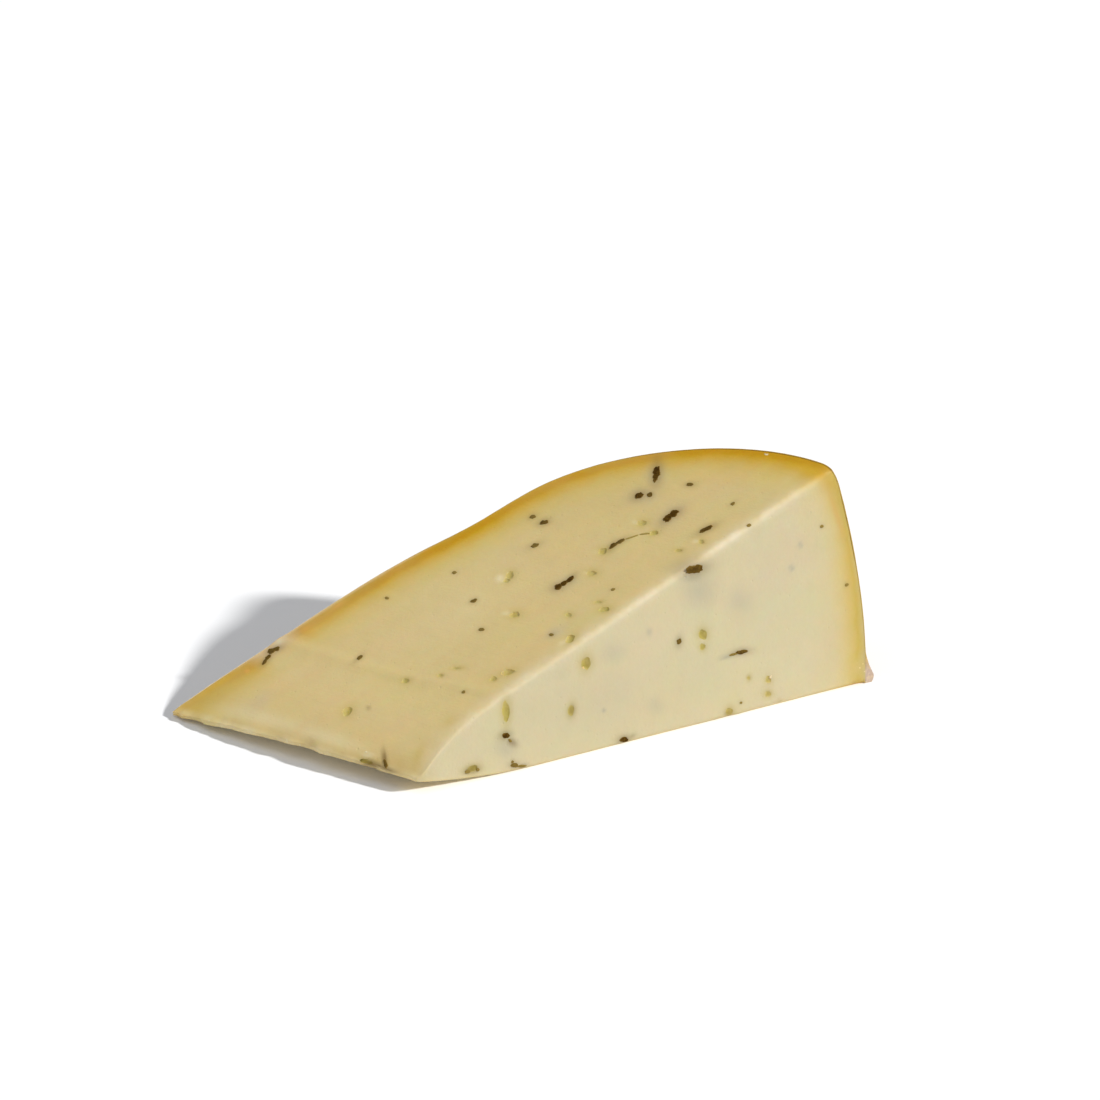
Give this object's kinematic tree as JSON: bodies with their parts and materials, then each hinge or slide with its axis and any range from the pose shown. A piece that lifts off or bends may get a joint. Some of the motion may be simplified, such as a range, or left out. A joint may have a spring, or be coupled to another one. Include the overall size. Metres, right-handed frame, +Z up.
{
  "type": "truffle gouda portion",
  "caption": "Wedge of truffle gouda cut from half a wheel, lying on one radial cut, with a rounded rind, round eyes and dark truffle flecks in the cut faces.",
  "frame": {"origin": "middle of the box round the portion, at the height of the surface it lies on", "axes": "+X from the thin end at the wheel's axis out to the rind, +Y from the level cut to the wheel's flat side, +Z up"},
  "size_m": [0.1182, 0.058, 0.0444],
  "materials": {
    "paste": "slightly moist satin cheese paste, pale straw on the level cut and drier tan on the radial cut, deepening to golden ochre at the rind",
    "truffle": "dull brown-black truffle flecks with a soft grey-brown stain around them",
    "rind_coat": "thin satin coat over the rind, mottled amber and ochre with fine dents, golden where the knife cut through it"
  },
  "bodies": {
    "root": {"cheese_wedge": "paste"}
  },
  "joints": []
}
